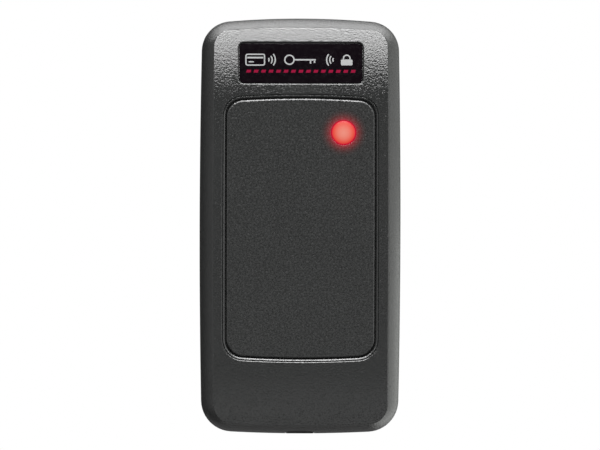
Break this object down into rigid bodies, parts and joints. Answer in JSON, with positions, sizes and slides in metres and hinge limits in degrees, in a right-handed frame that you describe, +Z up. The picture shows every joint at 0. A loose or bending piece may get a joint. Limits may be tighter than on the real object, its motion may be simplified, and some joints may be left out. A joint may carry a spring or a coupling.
{
  "type": "rfid card reader",
  "caption": "Slim wall-mounted proximity card reader: black moulded cover with framed card panel, red status light and badge, hooked and screwed to a back plate with loop antenna and board.",
  "frame": {"origin": "centre of the rear face that lies on the wall, on the wall plane y = 0", "axes": "+Z up the wall, +X to the right as seen from the front, +Y into the wall; the card side faces -Y"},
  "size_m": [0.0402, 0.0145, 0.083],
  "materials": {
    "housing_black": "moulded black ABS, fine spark-eroded grain",
    "panel_black": "moulded black ABS, fine spark-eroded grain",
    "badge_black": null,
    "lens_red": "tinted translucent light pipe, glowing red",
    "base_black": "moulded black ABS, satin",
    "foam_grey": "closed-cell foam sheet",
    "grommet_rubber": "soft moulded rubber",
    "brass": "knurled brass insert",
    "stainless": "turned stainless steel",
    "washer_nylon": "natural nylon",
    "zinc_steel": "bright zinc-plated steel",
    "board_green": "green solder mask over glass-fibre laminate",
    "former_ivory": "moulded nylon coil former",
    "copper": "enamelled copper wire, close wound",
    "led_package": "white moulded package",
    "chip_black": "epoxy chip package",
    "crystal_can": "drawn nickel-plated can",
    "ferrite_grey": "shielded ferrite core",
    "tantalum_ochre": "moulded capacitor body",
    "sounder_black": "moulded sounder case",
    "disc_brass": "piezo disc on brass",
    "header_ivory": "moulded nylon header",
    "pin_tin": "tinned brass pin",
    "can_blue": "sleeved aluminium can",
    "switch_black": "moulded switch body",
    "plunger_ivory": "moulded acetal plunger",
    "spring_steel": "spring steel wire"
  },
  "bodies": {
    "base": {"back_plate": "base_black", "wall_gasket": "foam_grey", "cable_grommet": "grommet_rubber", "threaded_insert": "brass", "circuit_board": "board_green", "board_screw_1": "zinc_steel", "board_screw_2": "zinc_steel", "board_screw_3": "zinc_steel", "board_screw_4": "zinc_steel", "coil_former": "former_ivory", "antenna_coil": "copper", "status_led": "led_package", "microcontroller": "chip_black", "rf_front_end": "chip_black", "quartz_crystal": "crystal_can", "voltage_regulator": "chip_black", "power_inductor": "ferrite_grey", "tuning_capacitor": "tantalum_ochre", "surge_suppressor": "chip_black", "sounder_case": "sounder_black", "sounder_disc": "disc_brass", "cable_header": "header_ivory", "header_pin_1": "pin_tin", "header_pin_2": "pin_tin", "header_pin_3": "pin_tin", "header_pin_4": "pin_tin", "header_pin_5": "pin_tin", "electrolytic_capacitor": "can_blue", "tamper_switch_body": "switch_black", "tamper_spring": "spring_steel"},
    "cover": {"front_cover": "housing_black", "card_panel": "panel_black", "badge_plate": "badge_black", "led_lens": "lens_red"},
    "screw_carrier": {"screw_washer": "washer_nylon"},
    "screw": {"cover_screw": "stainless"},
    "plunger": {"tamper_plunger": "plunger_ivory"}
  },
  "joints": [
    {"name": "cover_swing", "type": "hinge", "parent": "base", "child": "cover", "pos_m": [0, -0.0016, 0.0398], "axis": [-1, 0, 0], "range_deg": [0, 20]},
    {"name": "screw_draw", "type": "slide", "parent": "base", "child": "screw_carrier", "axis": [0, 0, -1], "range_m": [0, 0.0065]},
    {"name": "screw_turn", "type": "hinge", "parent": "screw_carrier", "child": "screw", "pos_m": [0, -0.0056, -0.04], "axis": [0, 0, -1], "range_deg": [0, 4690]},
    {"name": "tamper_plunger_travel", "type": "slide", "parent": "base", "child": "plunger", "axis": [0, 1, 0], "range_m": [0, 0.0015], "stiffness_N_per_m": 150, "springref_m": 0.003, "deforming": ["tamper_spring"]}
  ],
  "couplings": [
    {"joint": "screw_turn", "follows": "screw_draw", "rad_per_m": 12566}
  ]
}
